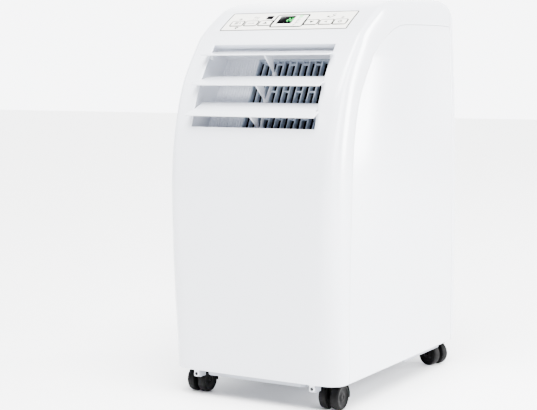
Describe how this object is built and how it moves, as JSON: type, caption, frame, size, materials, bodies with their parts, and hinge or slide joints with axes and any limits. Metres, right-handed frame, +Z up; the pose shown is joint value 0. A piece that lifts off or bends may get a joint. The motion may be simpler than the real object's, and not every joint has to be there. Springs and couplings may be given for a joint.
{
  "type": "portable air conditioner",
  "caption": "Upright portable room air conditioner with a curved front, tilting louvres, a sloped control panel, rear filter doors and swivel casters.",
  "frame": {"origin": "on the floor, under the middle of the bounding box", "axes": "+Z up along the height, -Y out of the front, +X across the width towards the viewer's right"},
  "size_m": [0.3, 0.4761, 0.635],
  "materials": {
    "white_gloss": "gloss moulded ABS, cool white",
    "panel_white": "satin moulded ABS, warm white",
    "pale_grey": "satin moulded ABS, pale grey",
    "gloss_black": "dark tinted acrylic",
    "black_plastic": "moulded nylon, black",
    "steel": "bright steel",
    "zinc": "zinc-plated sheet steel",
    "copper": "drawn copper tube, dull",
    "aluminium": "pressed fin stock",
    "board_green": "solder-masked glass epoxy",
    "filter_mesh": "woven nylon filter mesh",
    "rubber": "moulded rubber"
  },
  "bodies": {
    "root": {"front_housing": "white_gloss", "left_side_panel": "white_gloss", "right_side_panel": "white_gloss", "rear_housing": "white_gloss", "base_pan": "pale_grey", "outlet_duct": "pale_grey", "outlet_guard": "pale_grey", "condenser_blower_scroll": "pale_grey", "exhaust_collar": "pale_grey", "drip_tray": "pale_grey", "front_screw_left": "zinc", "front_screw_right": "zinc", "evaporator_fan_motor": "zinc", "condenser_fan_motor": "zinc", "electrical_box": "zinc", "control_panel": "panel_white", "display_window": "gloss_black", "receiver_window": "gloss_black", "control_board": "board_green", "evaporator_blower_scroll": "black_plastic", "compressor": "black_plastic", "cord_gland": "black_plastic", "evaporator_coil": "aluminium", "condenser_coil": "aluminium", "suction_pipe": "copper", "discharge_pipe": "copper"},
    "caster_front_left": {"caster_front_left_body": "black_plastic", "caster_front_left_axle": "steel"},
    "caster_front_left_left_wheel": {"caster_front_left_wheel_left": "black_plastic"},
    "caster_front_left_right_wheel": {"caster_front_left_wheel_right": "black_plastic"},
    "caster_front_right": {"caster_front_right_body": "black_plastic", "caster_front_right_axle": "steel"},
    "caster_front_right_left_wheel": {"caster_front_right_wheel_left": "black_plastic"},
    "caster_front_right_right_wheel": {"caster_front_right_wheel_right": "black_plastic"},
    "caster_rear_left": {"caster_rear_left_body": "black_plastic", "caster_rear_left_axle": "steel"},
    "caster_rear_left_left_wheel": {"caster_rear_left_wheel_left": "black_plastic"},
    "caster_rear_left_right_wheel": {"caster_rear_left_wheel_right": "black_plastic"},
    "caster_rear_right": {"caster_rear_right_body": "black_plastic", "caster_rear_right_axle": "steel"},
    "caster_rear_right_left_wheel": {"caster_rear_right_wheel_left": "black_plastic"},
    "caster_rear_right_right_wheel": {"caster_rear_right_wheel_right": "black_plastic"},
    "louvre_top": {"louvre_top": "white_gloss"},
    "louvre_middle": {"louvre_middle": "white_gloss"},
    "louvre_bottom": {"louvre_bottom": "white_gloss"},
    "louvre_link": {"louvre_link_bar": "pale_grey"},
    "button_1": {"button_1": "panel_white"},
    "button_2": {"button_2": "panel_white"},
    "button_3": {"button_3": "panel_white"},
    "button_4": {"button_4": "panel_white"},
    "button_5": {"button_5": "panel_white"},
    "button_6": {"button_6": "panel_white"},
    "evaporator_blower": {"evaporator_blower_wheel": "black_plastic"},
    "condenser_blower": {"condenser_blower_wheel": "black_plastic"},
    "upper_filter_door": {"upper_filter_cover": "white_gloss", "upper_filter": "filter_mesh"},
    "lower_filter_door": {"lower_filter_cover": "white_gloss", "lower_filter": "filter_mesh"},
    "drain_plug": {"drain_plug": "rubber"}
  },
  "joints": [
    {"name": "caster_front_left_swivel", "type": "hinge", "parent": "root", "child": "caster_front_left", "pos_m": [-0.12, -0.168, 0.02], "axis": [0, 0, 1], "continuous": true},
    {"name": "caster_front_left_left_wheel_spin", "type": "hinge", "parent": "caster_front_left", "child": "caster_front_left_left_wheel", "pos_m": [-0.12, -0.178, 0.02], "axis": [1, 0, 0], "continuous": true},
    {"name": "caster_front_left_right_wheel_spin", "type": "hinge", "parent": "caster_front_left", "child": "caster_front_left_right_wheel", "pos_m": [-0.12, -0.178, 0.02], "axis": [1, 0, 0], "continuous": true},
    {"name": "caster_front_right_swivel", "type": "hinge", "parent": "root", "child": "caster_front_right", "pos_m": [0.12, -0.168, 0.02], "axis": [0, 0, 1], "continuous": true},
    {"name": "caster_front_right_left_wheel_spin", "type": "hinge", "parent": "caster_front_right", "child": "caster_front_right_left_wheel", "pos_m": [0.12, -0.178, 0.02], "axis": [1, 0, 0], "continuous": true},
    {"name": "caster_front_right_right_wheel_spin", "type": "hinge", "parent": "caster_front_right", "child": "caster_front_right_right_wheel", "pos_m": [0.12, -0.178, 0.02], "axis": [1, 0, 0], "continuous": true},
    {"name": "caster_rear_left_swivel", "type": "hinge", "parent": "root", "child": "caster_rear_left", "pos_m": [-0.114, 0.196, 0.02], "axis": [0, 0, 1], "continuous": true},
    {"name": "caster_rear_left_left_wheel_spin", "type": "hinge", "parent": "caster_rear_left", "child": "caster_rear_left_left_wheel", "pos_m": [-0.11823, 0.18694, 0.02], "axis": [0.9063, -0.4226, 0], "continuous": true},
    {"name": "caster_rear_left_right_wheel_spin", "type": "hinge", "parent": "caster_rear_left", "child": "caster_rear_left_right_wheel", "pos_m": [-0.11823, 0.18694, 0.02], "axis": [0.9063, -0.4226, 0], "continuous": true},
    {"name": "caster_rear_right_swivel", "type": "hinge", "parent": "root", "child": "caster_rear_right", "pos_m": [0.114, 0.196, 0.02], "axis": [0, 0, 1], "continuous": true},
    {"name": "caster_rear_right_left_wheel_spin", "type": "hinge", "parent": "caster_rear_right", "child": "caster_rear_right_left_wheel", "pos_m": [0.12345, 0.19274, 0.02], "axis": [0.3256, 0.9455, 0], "continuous": true},
    {"name": "caster_rear_right_right_wheel_spin", "type": "hinge", "parent": "caster_rear_right", "child": "caster_rear_right_right_wheel", "pos_m": [0.12345, 0.19274, 0.02], "axis": [0.3256, 0.9455, 0], "continuous": true},
    {"name": "louvre_middle_tilt", "type": "hinge", "parent": "root", "child": "louvre_middle", "pos_m": [0, -0.19133, 0.49373], "axis": [1, 0, 0], "range_deg": [-13, 47]},
    {"name": "louvre_top_tilt", "type": "hinge", "parent": "root", "child": "louvre_top", "pos_m": [0, -0.16359, 0.53555], "axis": [1, 0, 0], "range_deg": [-13, 47]},
    {"name": "louvre_bottom_tilt", "type": "hinge", "parent": "root", "child": "louvre_bottom", "pos_m": [0, -0.20962, 0.44947], "axis": [1, 0, 0], "range_deg": [-13, 47]},
    {"name": "louvre_link_swing", "type": "hinge", "parent": "louvre_middle", "child": "louvre_link", "pos_m": [-0.002, -0.17499, 0.46857], "axis": [1, 0, 0], "range_deg": [-47, 13]},
    {"name": "button_1_press", "type": "slide", "parent": "root", "child": "button_1", "axis": [0, 0.5303, -0.8478], "range_m": [0, 0.001], "stiffness_N_per_m": 400, "springref_m": -0.0004},
    {"name": "button_2_press", "type": "slide", "parent": "root", "child": "button_2", "axis": [0, 0.5303, -0.8478], "range_m": [0, 0.001], "stiffness_N_per_m": 400, "springref_m": -0.0004},
    {"name": "button_3_press", "type": "slide", "parent": "root", "child": "button_3", "axis": [0, 0.5303, -0.8478], "range_m": [0, 0.001], "stiffness_N_per_m": 400, "springref_m": -0.0004},
    {"name": "button_4_press", "type": "slide", "parent": "root", "child": "button_4", "axis": [0, 0.5303, -0.8478], "range_m": [0, 0.001], "stiffness_N_per_m": 400, "springref_m": -0.0004},
    {"name": "button_5_press", "type": "slide", "parent": "root", "child": "button_5", "axis": [0, 0.5303, -0.8478], "range_m": [0, 0.001], "stiffness_N_per_m": 400, "springref_m": -0.0004},
    {"name": "button_6_press", "type": "slide", "parent": "root", "child": "button_6", "axis": [0, 0.5303, -0.8478], "range_m": [0, 0.001], "stiffness_N_per_m": 400, "springref_m": -0.0004},
    {"name": "evaporator_blower_spin", "type": "hinge", "parent": "root", "child": "evaporator_blower", "pos_m": [0, 0.015, 0.44], "axis": [1, 0, 0], "continuous": true},
    {"name": "condenser_blower_spin", "type": "hinge", "parent": "root", "child": "condenser_blower", "pos_m": [0, 0.025, 0.18], "axis": [1, 0, 0], "continuous": true},
    {"name": "upper_filter_door_tilt", "type": "hinge", "parent": "root", "child": "upper_filter_door", "pos_m": [0, 0.23473, 0.4], "axis": [-1, 0, 0], "range_deg": [0, 60]},
    {"name": "lower_filter_door_tilt", "type": "hinge", "parent": "root", "child": "lower_filter_door", "pos_m": [0, 0.238, 0.096], "axis": [-1, 0, 0], "range_deg": [0, 60]},
    {"name": "drain_plug_pull", "type": "slide", "parent": "root", "child": "drain_plug", "axis": [0, 1, 0], "range_m": [0, 0.02]}
  ],
  "couplings": [
    {"joint": "louvre_top_tilt", "follows": "louvre_middle_tilt", "ratio": 1},
    {"joint": "louvre_bottom_tilt", "follows": "louvre_middle_tilt", "ratio": 1},
    {"joint": "louvre_link_swing", "follows": "louvre_middle_tilt", "ratio": -1}
  ]
}
